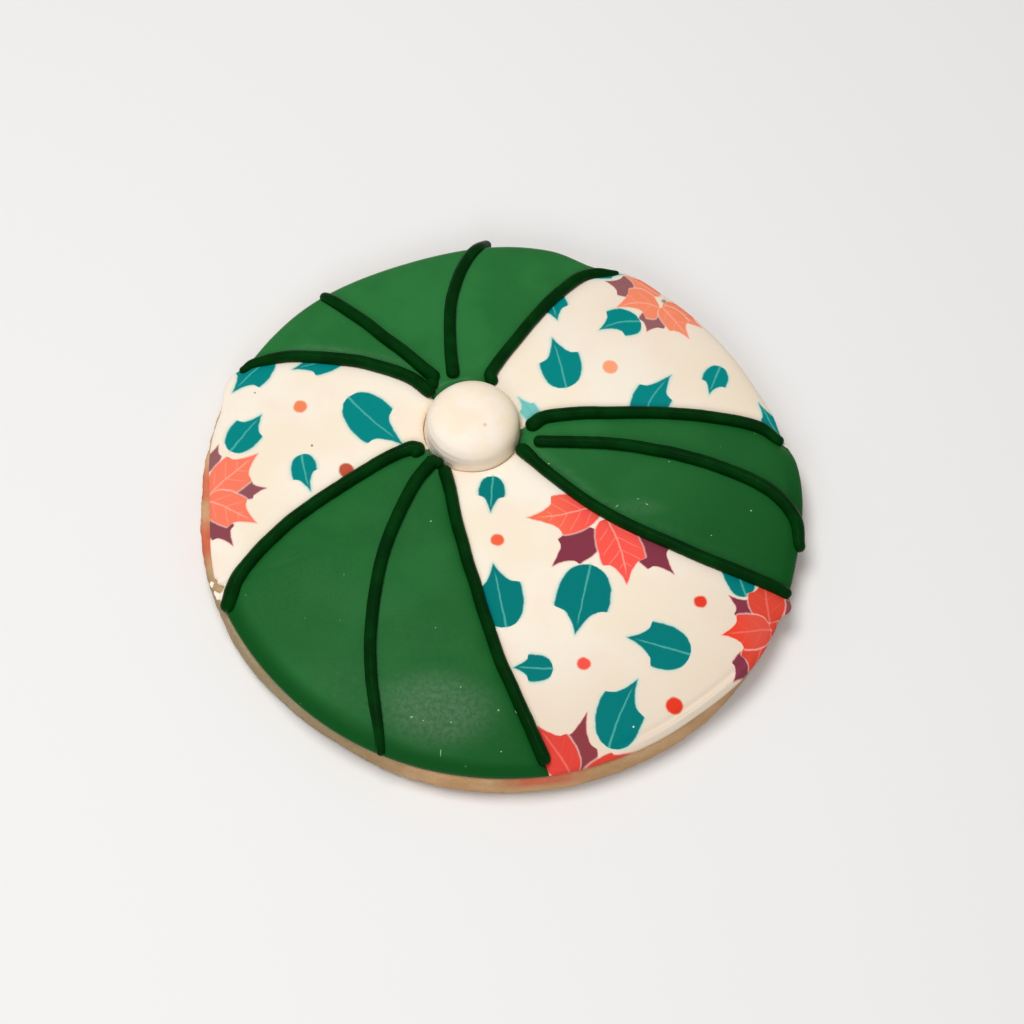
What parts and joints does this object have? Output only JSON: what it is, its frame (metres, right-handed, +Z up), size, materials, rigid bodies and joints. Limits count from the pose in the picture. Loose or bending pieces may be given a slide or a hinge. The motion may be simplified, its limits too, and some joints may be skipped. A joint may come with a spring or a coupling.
{
  "type": "iced sugar cookie",
  "caption": "Round sugar cookie with cushions of run-out icing in green and flower-printed cream, dark piped lines that fan out from a piped cream button.",
  "frame": {"origin": "centre of the biscuit's flat underside", "axes": "+Z up out of the iced face, +X to the right and +Y away from the viewer, as the cookie lies with its button above and left of the middle"},
  "size_m": [0.0857, 0.086, 0.0106],
  "materials": {
    "biscuit": "baked sugar dough, matt, fine crumb, browner underneath",
    "green_icing": "dry run-out sugar icing, mid green, satin with fine specks",
    "printed_icing": "dry run-out sugar icing, cream, satin, printed with teal leaves, coral and maroon flowers and dots",
    "dark_green_piping": "piped sugar icing, very dark green, satin",
    "cream_piping": "piped sugar icing, pale cream, satin"
  },
  "bodies": {
    "root": {"biscuit_base": "biscuit", "green_icing_right": "green_icing", "printed_icing_upper_right": "printed_icing", "green_icing_top": "green_icing", "printed_icing_left": "printed_icing", "green_icing_lower_left": "green_icing", "printed_icing_lower_right": "printed_icing", "piped_line_1": "dark_green_piping", "piped_line_2": "dark_green_piping", "piped_line_3": "dark_green_piping", "piped_line_4": "dark_green_piping", "piped_line_5": "dark_green_piping", "piped_line_6": "dark_green_piping", "piped_line_7": "dark_green_piping", "piped_line_8": "dark_green_piping", "piped_line_9": "dark_green_piping", "piped_line_10": "dark_green_piping", "icing_button": "cream_piping"}
  },
  "joints": []
}
